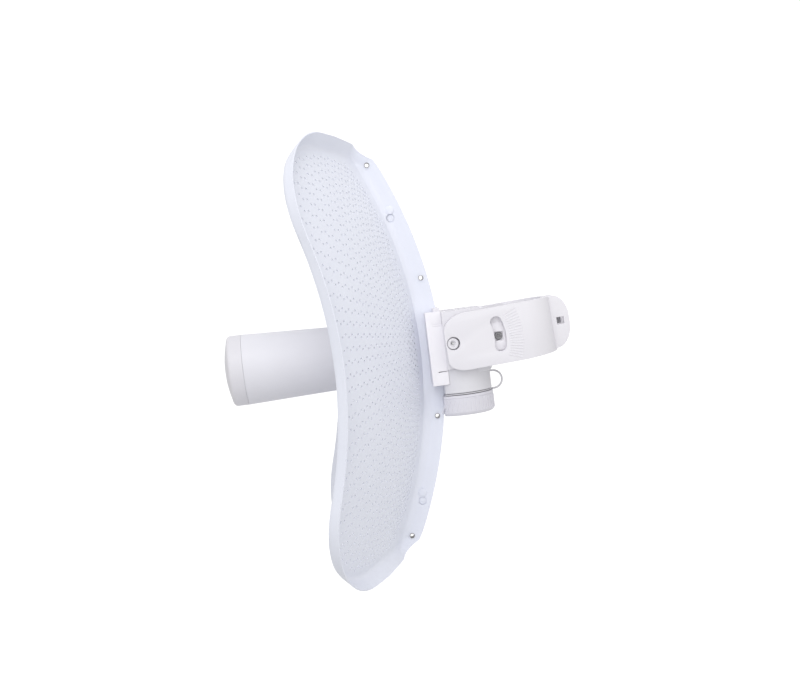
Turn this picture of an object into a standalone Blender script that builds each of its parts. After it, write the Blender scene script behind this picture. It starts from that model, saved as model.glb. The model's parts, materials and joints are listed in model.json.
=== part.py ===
"""A wireless bridge dish antenna: a two-piece sheet reflector, its feed, and a tilting pole bracket.

The part stands as it hangs on an upright pole. +Z runs up the pole and -X is where a level dish
looks, so +X is the pole's side. The origin is the middle of the flat strip in the saddle that bears on
the pole. The dish tilts about a level axis along Y. Its pieces are placed on the dish's own axes: there
x runs back along the feed from the bend where the two reflector halves meet, and z runs up the dish.
Left is -Y and right is +Y. All lengths are metres.
"""
import math

import bmesh
import bpy
from mathutils import Vector

LEFT = -1
RIGHT = 1
SIDES = {"left": LEFT, "right": RIGHT}
GAP = 0.0003

# Tilt
REST_ELEVATION = math.radians(2.6)
PIVOT_BEHIND_BEND = 0.0240
PIVOT_ABOVE_FEED = 0.0019
SLOT_HALF_SWING = math.radians(14.6)
SLOT_MIDDLE = math.radians(2.6)
SLOT_RADIUS = 0.0380
LOCK_RADIUS = 0.0371
LOCK_ANGLE = math.radians(2.1)

# Reflector: the outline of its flat floor, and its walls as steps out from the floor and back from it
SHEET = 0.0012
VALLEY_SLOPE = 0.42
FOCUS_ACROSS = 0.220
FOCUS_ALONG = 0.168
FLOOR_INNER = 0.0043
FLOOR_OUTER = 0.1248
FLOOR_HALF_HEIGHT = 0.1656
END_DROOP = 0.0096
DROOP_HALF_WIDTH = 0.060
DROOP_FROM = 0.100
OUTER_CORNER = 0.067
CORNER_POWER = 2.12
INNER_CORNER = 0.005
SIDE_WALL = ((0.0020, -0.0012), (0.0040, -0.0013), (0.0070, 0.0012), (0.0112, 0.0052))
END_WALL = ((0.0020, -0.0008), (0.0042, -0.0007), (0.0080, 0.0021), (0.0135, 0.0078))
FLANGE_WALL = ((0.0015, 0.0012), (0.0028, 0.0027), (0.0034, 0.0052), (0.0001, 0.0177))
END_WALL_SHALLOW = 0.35
END_WALL_DEEP_AT = 0.040
SPINE_WINDOW = 0.016
FLOOR_COLUMNS = 11
SIDE_ROWS = 6
CORNER_ROWS = 10
PIN_HOLES = ((0.0056, 0.057), (0.0056, -0.057), (-0.0270, 0.153), (-0.0270, -0.153))
PIN_HOLE_RADIUS = 0.00225
PIN_DRILL = 0.030

# Feed
TUBE_START = 0.0243
TUBE_END = 0.1456
TUBE_RADII = (0.0243, 0.0288)
CAP_RIM = 0.1570
CAP_TIP = 0.1620
COLLAR_RADIUS = 0.0285
COLLAR_RIM = 0.0150
SPINE_HALF_THICKNESS = 0.0033
SPINE_HALF_HEIGHT = 0.0147

# Clip round the flanges
CLIP_FRONT = 0.0044
CLIP_REAR = 0.0169
CLIP_INNER = 0.0054
CLIP_OUTER = 0.0215
CLIP_TOP = 0.0284
CLIP_BOTTOM = -0.0312
CLIP_SLIT = -0.0203
CLIP_SLIT_FRONT = 0.0098
PLATE_REAR = 0.0194
PLATE_TOP = 0.0314

# Tilt block
BLOCK_REAR = 0.0515
BLOCK_HALF_WIDTH = 0.0255
BLOCK_TOP = 0.0278
BLOCK_BOTTOM = -0.0190
LUG_INNER = 0.0214
LUG_OUTER = 0.0259
LUG_REAR = 0.0675
LUG_TOP = 0.0145
LUG_BOTTOM = -0.0080
POCKET = 0.0072
POCKET_FLOOR = 0.0234
LOCK_BOLT_RADIUS = 0.0028
LOCK_NUT = 0.0090
BOSS_RADIUS = 0.0047
BOSS_END = 0.0303
BOSS_BORE = 0.0015

# Port housing and its cap
PORT_CENTRE = 0.0290
PORT_RADIUS = 0.0240
PORT_FRONT = 0.0135
PORT_GROOVE = (0.0188, 0.0058)
NECK_BOTTOM = -0.0392
GASKET_THICKNESS = 0.0009
GASKET_RADIUS = 0.0226
CAP_RADIUS = 0.0246
CAP_BOTTOM = -0.0574
CAP_EDGE = 0.0034
TETHER_TOP = -0.0256
TETHER_X = 0.0546
TETHER_THICKNESS = 0.0010
TETHER_WIDTH = 0.0040

# Pole bracket, measured back from the pivot
ARM_OUTER = 0.0310
ARM_INNER = 0.0265
ARM_TOP = 0.0232
ARM_FRONT = -0.0063
JAW_START = 0.0599
JAW_CENTRE_Y = 0.0070
JAW_OUTER = 0.0240
EAR_OUTER_Y = 0.0120
EAR_END = 0.0978
EAR_HOLE = (0.0904, 0.0028, 0.0060)
SLOT_WIDTH = 0.0094
PIVOT_BORE = 0.0053
POLE_CENTRE = 0.0615
POLE_RADIUS = 0.0190
SADDLE_WALL = 0.0026
SEAT_HALF_WIDTH = 0.0040
WING_FRONT = 0.0505
SADDLE_TOP = 0.0215
SADDLE_BOTTOM = -0.0140
PIVOT_TO_SEAT = POLE_CENTRE - math.sqrt(POLE_RADIUS**2 - SEAT_HALF_WIDTH**2)

EDGE = 0.0007


def clear_scene():
    for thing in list(bpy.data.objects):
        bpy.data.objects.remove(thing)


def new_collection(name):
    collection = bpy.data.collections.new(name)
    bpy.context.scene.collection.children.link(collection)
    return collection


def finish(name, colour, roughness, metallic=0.0):
    material = bpy.data.materials.new(name)
    material.use_nodes = True
    shader = material.node_tree.nodes["Principled BSDF"]
    shader.inputs["Base Color"].default_value = (*colour, 1.0)
    shader.inputs["Roughness"].default_value = roughness
    shader.inputs["Metallic"].default_value = metallic
    return material


clear_scene()
parts = new_collection("wireless_bridge_dish")
cutters = new_collection("cutters")
painted_sheet = finish("painted_sheet", (0.74, 0.78, 0.89), 0.42)
white_plastic = finish("white_plastic", (0.86, 0.85, 0.89), 0.45)
cap_plastic = finish("cap_plastic", (0.64, 0.62, 0.70), 0.50)
grey_rubber = finish("grey_rubber", (0.55, 0.54, 0.58), 0.70)
dark_steel = finish("dark_steel", (0.05, 0.05, 0.06), 0.40, 0.9)

tilt_axis = bpy.data.objects.new("tilt_axis", None)
tilt_axis.location = (-PIVOT_TO_SEAT, 0, 0)
tilt_axis.rotation_euler = (0, REST_ELEVATION, 0)
parts.objects.link(tilt_axis)
bracket_datum = bpy.data.objects.new("bracket_datum", None)
bracket_datum.location = (-PIVOT_TO_SEAT, 0, 0)
parts.objects.link(bracket_datum)


def on_dish(x=0.0, y=0.0, z=0.0):
    """A point on the dish's axes, as a place under the tilt axis."""
    return Vector((x - PIVOT_BEHIND_BEND, y, z - PIVOT_ABOVE_FEED))


def put(name, mesh, material, location, parent, rotation=(0, 0, 0)):
    """Adds a piece, or a cutter where it has no material."""
    thing = bpy.data.objects.new(name, mesh)
    thing.location = location
    thing.rotation_euler = rotation
    thing.parent = parent
    if material is None:
        thing.hide_render = True
        thing.display_type = "WIRE"
        cutters.objects.link(thing)
    else:
        mesh.materials.append(material)
        mesh.shade_smooth()
        mesh.set_sharp_from_angle(angle=math.radians(35))
        parts.objects.link(thing)
    return thing


def cut(thing, cutter, operation="DIFFERENCE"):
    modifier = thing.modifiers.new(cutter.name, "BOOLEAN")
    modifier.operation = operation
    modifier.solver = "EXACT"
    modifier.object = cutter


def round_edges(thing, width=EDGE, segments=2):
    modifier = thing.modifiers.new("rounded", "BEVEL")
    modifier.width = width
    modifier.segments = segments
    modifier.limit_method = "ANGLE"
    modifier.angle_limit = math.radians(50)


def mesh_from(shape, name):
    mesh = bpy.data.meshes.new(name)
    shape.to_mesh(mesh)
    shape.free()
    return mesh


def block(name, low, high):
    """A box between two corners, as a mesh about its parent's origin."""
    shape = bmesh.new()
    bmesh.ops.create_cube(shape, size=1)
    for vertex in shape.verts:
        for axis in range(3):
            middle = (low[axis] + high[axis]) / 2
            vertex.co[axis] = middle + vertex.co[axis] * (high[axis] - low[axis])
    return mesh_from(shape, name)


def rod(name, radius, length, sides=24):
    """A round bar along its own Z, centred on its origin."""
    shape = bmesh.new()
    bmesh.ops.create_cone(
        shape, cap_ends=True, segments=sides, radius1=radius, radius2=radius, depth=length
    )
    return mesh_from(shape, name)


def sheet_outline(name, points, thickness):
    """A closed outline in its own XY plane, thickened evenly to both sides."""
    curve = bpy.data.curves.new(name, "CURVE")
    curve.dimensions = "2D"
    curve.fill_mode = "BOTH"
    curve.extrude = thickness / 2
    spline = curve.splines.new("POLY")
    spline.points.add(len(points) - 1)
    for knot, (x, y) in zip(spline.points, points):
        knot.co = (x, y, 0, 1)
    spline.use_cyclic_u = True
    carrier = bpy.data.objects.new(name, curve)
    parts.objects.link(carrier)
    seen = carrier.evaluated_get(bpy.context.evaluated_depsgraph_get())
    mesh = bpy.data.meshes.new_from_object(seen)
    bpy.data.objects.remove(carrier)
    shape = bmesh.new()
    shape.from_mesh(mesh)
    bmesh.ops.remove_doubles(shape, verts=shape.verts, dist=1e-6)
    bmesh.ops.recalc_face_normals(shape, faces=shape.faces)
    bpy.data.meshes.remove(mesh)
    return mesh_from(shape, name)


def arc(centre, radii, start, stop, steps):
    """Points on part of an ellipse, with the angles in degrees."""
    points = []
    for step in range(steps + 1):
        angle = math.radians(start + (stop - start) * step / steps)
        points.append((centre[0] + radii[0] * math.cos(angle), centre[1] + radii[1] * math.sin(angle)))
    return points


def turned(name, profile, steps=32):
    """A solid of revolution about its own Z. The profile runs down its outer side, from axis to axis."""
    shape = bmesh.new()
    ring = [shape.verts.new((radius, 0, height)) for radius, height in profile]
    for above, below in zip(ring, ring[1:]):
        shape.edges.new((above, below))
    mesh = mesh_from(shape, name)
    thing = bpy.data.objects.new(name, mesh)
    screw = thing.modifiers.new("turned", "SCREW")
    screw.steps = steps
    screw.render_steps = steps
    screw.use_merge_vertices = True
    screw.merge_threshold = 0.00001
    parts.objects.link(thing)
    seen = thing.evaluated_get(bpy.context.evaluated_depsgraph_get())
    solid = bpy.data.meshes.new_from_object(seen)
    bpy.data.objects.remove(thing)
    return solid


ALONG_Y = (math.pi / 2, 0, 0)
TO_FRONT = (0, -math.pi / 2, 0)


def skin_x(y, z):
    """How far back the sheet's middle layer lies: a shallow dish whose halves lean into a valley."""
    return -(VALLEY_SLOPE * abs(y) + y * y / (4 * FOCUS_ACROSS) + z * z / (4 * FOCUS_ALONG))


def past_corner(z, radius):
    """How far into a corner of this radius the height reaches, from 0 where it starts to 1 at the end."""
    above = abs(z) - (FLOOR_HALF_HEIGHT - radius)
    return min(max(above / radius, 0), 1)


def draw_in(share, radius, power):
    """How far a corner draws the outline in, this far up it. A power over 2 makes it squarer."""
    return radius * (1 - (1 - share**power) ** (1 / power))


def floor_rows():
    """Heights of the floor's rows: even along the side, then even steps of angle round the corner."""
    straight_end = FLOOR_HALF_HEIGHT - OUTER_CORNER
    upper = []
    for step in range(SIDE_ROWS + 1):
        upper.append(SPINE_WINDOW + (straight_end - SPINE_WINDOW) * step / SIDE_ROWS)
    for step in range(1, CORNER_ROWS + 1):
        upper.append(straight_end + OUTER_CORNER * math.sin(math.pi / 2 * step / CORNER_ROWS))
    return [-height for height in reversed(upper)] + [0.0] + upper


def floor_point(y, z):
    """A point of the floor, whose ends droop towards the middle of the dish."""
    share = max(abs(z) - DROOP_FROM, 0) / (FLOOR_HALF_HEIGHT - DROOP_FROM)
    z -= math.copysign(END_DROOP * share * max(1 - y / DROOP_HALF_WIDTH, 0), z)
    return Vector((skin_x(y, z), y, z))


def way_out(z, inward):
    """The way out of the floor's outline, across and up, on its inner or its outer side."""
    share = past_corner(z, INNER_CORNER if inward else OUTER_CORNER)
    power = 2 if inward else CORNER_POWER
    up = share ** (power - 1)
    across = (1 - share**power) ** (1 - 1 / power)
    length = math.hypot(up, across)
    return (-across if inward else across) / length, math.copysign(up / length, z)


def wall_step(index, across, up, y):
    """One step of the wall from the floor's edge, at this place round it: back, across and up."""
    end_out, end_back = END_WALL[index]
    end_back *= END_WALL_SHALLOW + (1 - END_WALL_SHALLOW) * min(y / END_WALL_DEEP_AT, 1)
    if across < 0:
        side_out, side_back = FLANGE_WALL[index]
        back = side_back + (end_back - side_back) * abs(up) ** 3
        return Vector((back, across * side_out, math.copysign(end_out * up**4, up)))
    side_out, side_back = SIDE_WALL[index]
    share = up * up
    out = side_out + (end_out - side_out) * share
    return Vector((side_back + (end_back - side_back) * share, across * out, up * out))


def reflector_sheet(name, side):
    """The middle layer of one half of the reflector: a tray whose inner wall is the tall flange."""
    heights = floor_rows()
    shape = bmesh.new()
    bmesh.ops.create_grid(shape, x_segments=FLOOR_COLUMNS, y_segments=len(heights) - 1, size=0.5)
    rim = {}
    for vertex in shape.verts:
        column = round((vertex.co.x + 0.5) * FLOOR_COLUMNS)
        row = round((vertex.co.y + 0.5) * (len(heights) - 1))
        z = heights[row]
        start = FLOOR_INNER + draw_in(past_corner(z, INNER_CORNER), INNER_CORNER, 2)
        stop = FLOOR_OUTER - draw_in(past_corner(z, OUTER_CORNER), OUTER_CORNER, CORNER_POWER)
        vertex.co = floor_point(start + (stop - start) * column / FLOOR_COLUMNS, z)
        if column in (0, FLOOR_COLUMNS):
            rim[vertex] = (vertex.co.copy(), *way_out(z, column == 0))
        elif row in (0, len(heights) - 1):
            rim[vertex] = (vertex.co.copy(), 0.0, math.copysign(1.0, z))
    edges = []
    for edge in shape.edges:
        middle = (edge.verts[0].co + edge.verts[1].co) / 2
        in_window = abs(middle.z) < SPINE_WINDOW and middle.y < FLOOR_INNER + 0.001
        if edge.is_boundary and not in_window:
            edges.append(edge)
    for index in range(len(SIDE_WALL)):
        strip = bmesh.ops.extrude_edge_only(shape, edges=edges)["geom"]
        fresh = {item for item in strip if isinstance(item, bmesh.types.BMVert)}
        edges = [item for item in strip if isinstance(item, bmesh.types.BMEdge) and set(item.verts) <= fresh]
        next_rim = {}
        for vertex in fresh:
            neighbours = [edge.other_vert(vertex) for edge in vertex.link_edges]
            place = next(rim[neighbour] for neighbour in neighbours if neighbour in rim)
            foot, across, up = place
            vertex.co = foot + wall_step(index, across, up, foot.y)
            next_rim[vertex] = place
        rim = next_rim
    for vertex in shape.verts:
        vertex.co.y *= side
    bmesh.ops.recalc_face_normals(shape, faces=shape.faces)
    return mesh_from(shape, name)


def make_reflectors():
    pin_holes = bmesh.new()
    for x, z in PIN_HOLES:
        radius = PIN_HOLE_RADIUS
        hole = bmesh.ops.create_cone(
            pin_holes, cap_ends=True, segments=16, radius1=radius, radius2=radius, depth=PIN_DRILL
        )
        bmesh.ops.translate(pin_holes, vec=(x, -z, 0), verts=hole["verts"])
    drill = mesh_from(pin_holes, "pin_hole_drill")
    drill = put("pin_hole_drill", drill, None, on_dish(), tilt_axis, (-math.pi / 2, 0, 0))
    for word, side in SIDES.items():
        name = "reflector_" + word
        half = put(name, reflector_sheet(name, side), painted_sheet, on_dish(), tilt_axis)
        wall = half.modifiers.new("sheet", "SOLIDIFY")
        wall.thickness = SHEET
        wall.offset = 0
        cut(half, drill)


def make_feed():
    """The feed tube, its front cap, the collar on the skin and the spine that goes through to the back."""
    near, far = TUBE_RADII
    edge = 0.0008
    tube = turned(
        "feed_tube",
        (
            (0, TUBE_END),
            (far - edge, TUBE_END),
            (far, TUBE_END - edge),
            (near, TUBE_START + edge),
            (near - edge, TUBE_START),
            (0, TUBE_START),
        ),
    )
    put("feed_tube", tube, white_plastic, on_dish(), tilt_axis, TO_FRONT)

    rim_radius = 0.0035
    profile = [(0, CAP_TIP)]
    face_radius = far - rim_radius
    for step in range(1, 6):
        radius = face_radius * step / 5
        profile.append((radius, CAP_TIP - (CAP_TIP - CAP_RIM - 0.0012) * (radius / face_radius) ** 2))
    for radius, height in arc((face_radius, CAP_RIM - 0.0023), (rim_radius, rim_radius), 75, 0, 4):
        profile.append((radius, height))
    profile += [(far, TUBE_END + GAP), (0, TUBE_END + GAP)]
    put("feed_cap", turned("feed_cap", profile), cap_plastic, on_dish(), tilt_axis, TO_FRONT)

    collar = turned(
        "feed_collar",
        (
            (0, TUBE_START - GAP),
            (near, TUBE_START - GAP),
            (near + 0.0008, COLLAR_RIM + 0.0030),
            (COLLAR_RADIUS - 0.0010, COLLAR_RIM + 0.0006),
            (COLLAR_RADIUS, COLLAR_RIM),
            (COLLAR_RADIUS, 0),
            (0, 0),
        ),
    )
    collar = put("feed_collar", collar, white_plastic, on_dish(), tilt_axis, TO_FRONT)
    reach = COLLAR_RADIUS + 0.004
    shape = bmesh.new()
    bmesh.ops.create_grid(shape, x_segments=8, y_segments=8, size=reach)
    for vertex in shape.verts:
        y, z = vertex.co.x, vertex.co.y
        front = skin_x(y, z) - 0.55 * SHEET * math.hypot(1, VALLEY_SLOPE) - GAP
        vertex.co = (front, y, z)
    raised = bmesh.ops.extrude_face_region(shape, geom=shape.faces[:])["geom"]
    for item in raised:
        if isinstance(item, bmesh.types.BMVert):
            item.co.x = 0.02
    bmesh.ops.recalc_face_normals(shape, faces=shape.faces)
    valley = put("valley_cutter", mesh_from(shape, "valley_cutter"), None, on_dish(), tilt_axis)
    cut(collar, valley)

    spine = block(
        "feed_spine",
        (-0.0006, -SPINE_HALF_THICKNESS, -SPINE_HALF_HEIGHT),
        (CLIP_REAR, SPINE_HALF_THICKNESS, SPINE_HALF_HEIGHT),
    )
    round_edges(put("feed_spine", spine, white_plastic, on_dish(), tilt_axis))


def make_clip():
    """The two cheeks that close over the flanges, and the plate behind them."""
    slit = block(
        "clip_slit",
        (CLIP_SLIT_FRONT, -CLIP_OUTER - 0.002, CLIP_SLIT - 0.0004),
        (CLIP_REAR + 0.001, CLIP_OUTER + 0.002, CLIP_SLIT + 0.0004),
    )
    slit = put("clip_slit", slit, None, on_dish(), tilt_axis)
    for word, side in SIDES.items():
        inner, outer = sorted((side * CLIP_INNER, side * CLIP_OUTER))
        cheek = block("clip_cheek_" + word, (CLIP_FRONT, inner, CLIP_BOTTOM), (CLIP_REAR, outer, CLIP_TOP))
        cheek = put("clip_cheek_" + word, cheek, white_plastic, on_dish(), tilt_axis)
        round_edges(cheek)
        cut(cheek, slit)
    plate = block(
        "clip_back_plate",
        (CLIP_REAR + GAP, -CLIP_OUTER, BLOCK_BOTTOM),
        (PLATE_REAR, CLIP_OUTER, PLATE_TOP),
    )
    round_edges(put("clip_back_plate", plate, white_plastic, on_dish(), tilt_axis))


def make_tilt_block():
    """The block between the bracket's arms, with its pivot bosses, lock lugs, bolts and nuts."""
    body = block(
        "tilt_block",
        (PLATE_REAR + GAP, -BLOCK_HALF_WIDTH, BLOCK_BOTTOM),
        (BLOCK_REAR, BLOCK_HALF_WIDTH, BLOCK_TOP),
    )
    round_edges(put("tilt_block", body, white_plastic, on_dish(), tilt_axis), 0.0015)
    lock_x = PIVOT_BEHIND_BEND + LOCK_RADIUS * math.cos(LOCK_ANGLE)
    lock_z = PIVOT_ABOVE_FEED + LOCK_RADIUS * math.sin(LOCK_ANGLE)
    for word, side in SIDES.items():
        inner, outer = sorted((side * LUG_INNER, side * LUG_OUTER))
        lug = block("tilt_lug_" + word, (BLOCK_REAR + GAP, inner, LUG_BOTTOM), (LUG_REAR, outer, LUG_TOP))
        lug = put("tilt_lug_" + word, lug, white_plastic, on_dish(), tilt_axis)
        round_edges(lug)
        floor, mouth = sorted((side * POCKET_FLOOR, side * (LUG_OUTER + 0.002)))
        pocket = block(
            "pocket_cutter_" + word,
            (lock_x - POCKET / 2, floor, lock_z - POCKET / 2),
            (lock_x + POCKET / 2, mouth, lock_z + POCKET / 2),
        )
        cut(lug, put("pocket_cutter_" + word, pocket, None, on_dish(), tilt_axis))
        bore = rod("lock_bore_" + word, LOCK_BOLT_RADIUS + GAP, 0.02)
        place = on_dish(lock_x, side * LUG_INNER, lock_z)
        bore = put("lock_bore_" + word, bore, None, place, tilt_axis, ALONG_Y)
        cut(lug, bore)

        nut_outer = LUG_INNER - GAP
        nut_inner = nut_outer - 0.0035
        inner, outer = sorted((side * nut_inner, side * nut_outer))
        nut = block(
            "lock_nut_" + word,
            (lock_x - LOCK_NUT / 2, inner, lock_z - LOCK_NUT / 2),
            (lock_x + LOCK_NUT / 2, outer, lock_z + LOCK_NUT / 2),
        )
        nut = put("lock_nut_" + word, nut, dark_steel, on_dish(), tilt_axis)
        cut(nut, bore)
        bolt_end = 0.0252
        bolt_start = nut_inner - 0.0012
        middle = side * (bolt_start + bolt_end) / 2
        bolt = rod("lock_bolt_" + word, LOCK_BOLT_RADIUS, bolt_end - bolt_start)
        put("lock_bolt_" + word, bolt, dark_steel, on_dish(lock_x, middle, lock_z), tilt_axis, ALONG_Y)

        length = BOSS_END - BLOCK_HALF_WIDTH - GAP
        boss = turned(
            "pivot_boss_" + word,
            (
                (0, length / 2 - 0.0022),
                (BOSS_BORE, length / 2 - 0.0022),
                (BOSS_BORE + 0.0012, length / 2),
                (BOSS_RADIUS - 0.0007, length / 2),
                (BOSS_RADIUS, length / 2 - 0.0007),
                (BOSS_RADIUS, -length / 2),
                (0, -length / 2),
            ),
            24,
        )
        middle = side * (BOSS_END + BLOCK_HALF_WIDTH + GAP) / 2
        put(
            "pivot_boss_" + word,
            boss,
            white_plastic,
            on_dish(PIVOT_BEHIND_BEND, middle, PIVOT_ABOVE_FEED),
            tilt_axis,
            (-side * math.pi / 2, 0, 0),
        )


def port_outline(radius):
    """The housing from above: round at the back, flat in front, with a groove for the flanges."""
    groove_x, groove_y = PORT_GROOVE
    half_angle = math.degrees(math.acos((PORT_FRONT - PORT_CENTRE) / radius))
    points = [(groove_x, groove_y), (PORT_FRONT, groove_y)]
    points += arc((PORT_CENTRE, 0), (radius, radius), half_angle, -half_angle, 30)
    points += [(PORT_FRONT, -groove_y), (groove_x, -groove_y)]
    return points


def make_port():
    """The housing under the tilt block where the cable goes in, with its gasket, cap and tether."""
    top = BLOCK_BOTTOM - GAP
    neck = sheet_outline("port_housing", port_outline(PORT_RADIUS), top - NECK_BOTTOM)
    neck = put("port_housing", neck, white_plastic, on_dish(z=(top + NECK_BOTTOM) / 2), tilt_axis)
    step = block(
        "neck_step_cutter",
        (PORT_FRONT - 0.002, -PORT_RADIUS, CLIP_BOTTOM - GAP),
        (CLIP_REAR + GAP, PORT_RADIUS, 0),
    )
    cut(neck, put("neck_step_cutter", step, None, on_dish(), tilt_axis))

    gasket_top = NECK_BOTTOM - GAP
    gasket = sheet_outline("port_gasket", port_outline(GASKET_RADIUS), GASKET_THICKNESS)
    put("port_gasket", gasket, grey_rubber, on_dish(z=gasket_top - GASKET_THICKNESS / 2), tilt_axis)

    cap_top = gasket_top - GASKET_THICKNESS - GAP
    cap = sheet_outline("port_cap", port_outline(CAP_RADIUS), cap_top - CAP_BOTTOM)
    cap = put("port_cap", cap, cap_plastic, on_dish(z=(cap_top + CAP_BOTTOM) / 2), tilt_axis)
    shape = bmesh.new()
    shape.from_mesh(cap.data)
    lowest = min(vertex.co.z for vertex in shape.verts)
    foot = [edge for edge in shape.edges if all(vertex.co.z < lowest + 1e-5 for vertex in edge.verts)]
    foot = [edge for edge in foot if len(edge.link_faces) == 2 and edge.calc_face_angle(0) > 1]
    outer = [edge for edge in foot if max(abs(vertex.co.y) for vertex in edge.verts) > PORT_GROOVE[1] + 1e-4]
    outer = [edge for edge in outer if max(vertex.co.x for vertex in edge.verts) > PORT_FRONT + 1e-4]
    bmesh.ops.bevel(
        shape, geom=outer, offset=CAP_EDGE, segments=3, profile=0.5, affect="EDGES", clamp_overlap=True
    )
    shape.to_mesh(cap.data)
    shape.free()
    cap.data.shade_smooth()
    cap.data.set_sharp_from_angle(angle=math.radians(35))

    tether_bottom = gasket_top - GASKET_THICKNESS / 2
    centre = (TETHER_X, (TETHER_TOP + tether_bottom) / 2)
    outer_radius = (TETHER_TOP - tether_bottom + TETHER_THICKNESS) / 2
    inner_radius = outer_radius - TETHER_THICKNESS
    neck_x = PORT_CENTRE + PORT_RADIUS + GAP
    gasket_x = PORT_CENTRE + GASKET_RADIUS + GAP
    loop = arc(centre, (outer_radius, outer_radius), 90, -90, 16)
    loop += [(gasket_x, centre[1] - outer_radius), (gasket_x, centre[1] - inner_radius)]
    loop += arc(centre, (inner_radius, inner_radius), -90, 90, 16)
    loop += [(neck_x, centre[1] + inner_radius), (neck_x, centre[1] + outer_radius)]
    tether = sheet_outline("cap_tether", loop, TETHER_WIDTH)
    put("cap_tether", tether, grey_rubber, on_dish(), tilt_axis, ALONG_Y)


def arm_plan(side):
    """One arm from above: a straight plate, a quarter turn round the pole and the ear."""
    wall = ARM_OUTER - ARM_INNER
    inner_radius = JAW_OUTER - wall
    centre = (JAW_START, JAW_CENTRE_Y)
    ear_angle = math.degrees(math.asin((EAR_OUTER_Y - JAW_CENTRE_Y) / JAW_OUTER))
    points = [(ARM_FRONT - 0.002, ARM_INNER), (ARM_FRONT - 0.002, ARM_OUTER)]
    points += arc(centre, (JAW_OUTER, JAW_OUTER), 90, ear_angle, 10)
    points += [(EAR_END + 0.002, EAR_OUTER_Y), (EAR_END + 0.002, JAW_CENTRE_Y)]
    points += arc(centre, (inner_radius, inner_radius), 0, 90, 10)
    return [(x, y * side) for x, y in points]


def arm_profile():
    """The arms from the side: a rounded front end, nearly level edges and the D-shaped ear."""
    points = arc((0.0137, 0.0092), (0.0137 - ARM_FRONT, ARM_TOP - 0.0092), 180, 90, 8)
    points += arc((0.0860, 0.0062), (EAR_END - 0.0860, 0.0178), 90, 0, 7)
    points += arc((0.0845, 0.0008), (EAR_END - 0.0845, 0.0198), 0, -90, 7)
    points += [(0.0838, -0.0206), (0.0570, -0.0223)]
    points += arc((0.0090, -0.0140), (0.0090 - ARM_FRONT, 0.0089), -90, -180, 6)
    return points


def slot_outline():
    """The curved slot that the lock bolt slides in, about the pivot."""
    half = SLOT_WIDTH / 2
    low = math.degrees(SLOT_MIDDLE - SLOT_HALF_SWING)
    high = math.degrees(SLOT_MIDDLE + SLOT_HALF_SWING)
    sides = ((SLOT_RADIUS + half, low, high, 0), (SLOT_RADIUS - half, high, low, 180))
    points = []
    for radius, start, stop, turn in sides:
        points += arc((0, 0), (radius, radius), start, stop, 8)
        end = math.radians(stop)
        centre = (SLOT_RADIUS * math.cos(end), SLOT_RADIUS * math.sin(end))
        points += arc(centre, (half, half), stop + turn, stop + turn + 180, 8)[1:-1]
    return points


def saddle_plan():
    """The saddle from above: half a ring with a flat strip in its middle, and a wing to each arm."""
    outer = POLE_RADIUS + SADDLE_WALL
    strip = math.degrees(math.asin(SEAT_HALF_WIDTH / POLE_RADIUS))
    wing_angle = math.degrees(math.acos((WING_FRONT - POLE_CENTRE) / outer))
    wing_y = ARM_INNER - GAP
    centre = (POLE_CENTRE, 0)
    points = arc(centre, (POLE_RADIUS, POLE_RADIUS), 90, 180 - strip, 10)
    points += arc(centre, (POLE_RADIUS, POLE_RADIUS), 180 + strip, 270, 10)
    points += [(POLE_CENTRE, -wing_y), (WING_FRONT, -wing_y)]
    points += arc(centre, (outer, outer), 360 - wing_angle, wing_angle, 14)
    points += [(WING_FRONT, wing_y), (POLE_CENTRE, wing_y)]
    return points


def make_bracket():
    """The two arms, each cut from an upright blank, and the saddle between them."""
    here = (0, 0, 0)
    tall = 0.06
    wide = 0.08
    profile = sheet_outline("arm_profile_cutter", arm_profile(), wide)
    profile = put("arm_profile_cutter", profile, None, here, bracket_datum, ALONG_Y)
    slot = sheet_outline("slot_cutter", slot_outline(), wide)
    slot = put("slot_cutter", slot, None, here, bracket_datum, ALONG_Y)
    bore = rod("pivot_bore_cutter", PIVOT_BORE, wide)
    bore = put("pivot_bore_cutter", bore, None, here, bracket_datum, ALONG_Y)
    hole_x, hole_z, hole_size = EAR_HOLE
    half = hole_size / 2
    low = (hole_x - half, -wide / 2, hole_z - half)
    high = (hole_x + half, wide / 2, hole_z + half)
    square = put("ear_hole_cutter", block("ear_hole_cutter", low, high), None, here, bracket_datum)
    for word, side in SIDES.items():
        name = "bracket_arm_" + word
        arm = put(name, sheet_outline(name, arm_plan(side), tall), white_plastic, here, bracket_datum)
        cut(arm, profile, "INTERSECT")
        cut(arm, slot)
        cut(arm, bore)
        cut(arm, square)
    middle = (SADDLE_TOP + SADDLE_BOTTOM) / 2
    saddle = sheet_outline("pole_saddle", saddle_plan(), SADDLE_TOP - SADDLE_BOTTOM)
    put("pole_saddle", saddle, white_plastic, (0, 0, middle), bracket_datum)


make_reflectors()
make_feed()
make_clip()
make_tilt_block()
make_port()
make_bracket()
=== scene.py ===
"""Dresses the wireless bridge dish: its perforated halves, feed, clip, tilt bracket and cable port."""

import json
import math

import bmesh
import bpy
from mathutils import Matrix, Vector


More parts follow.
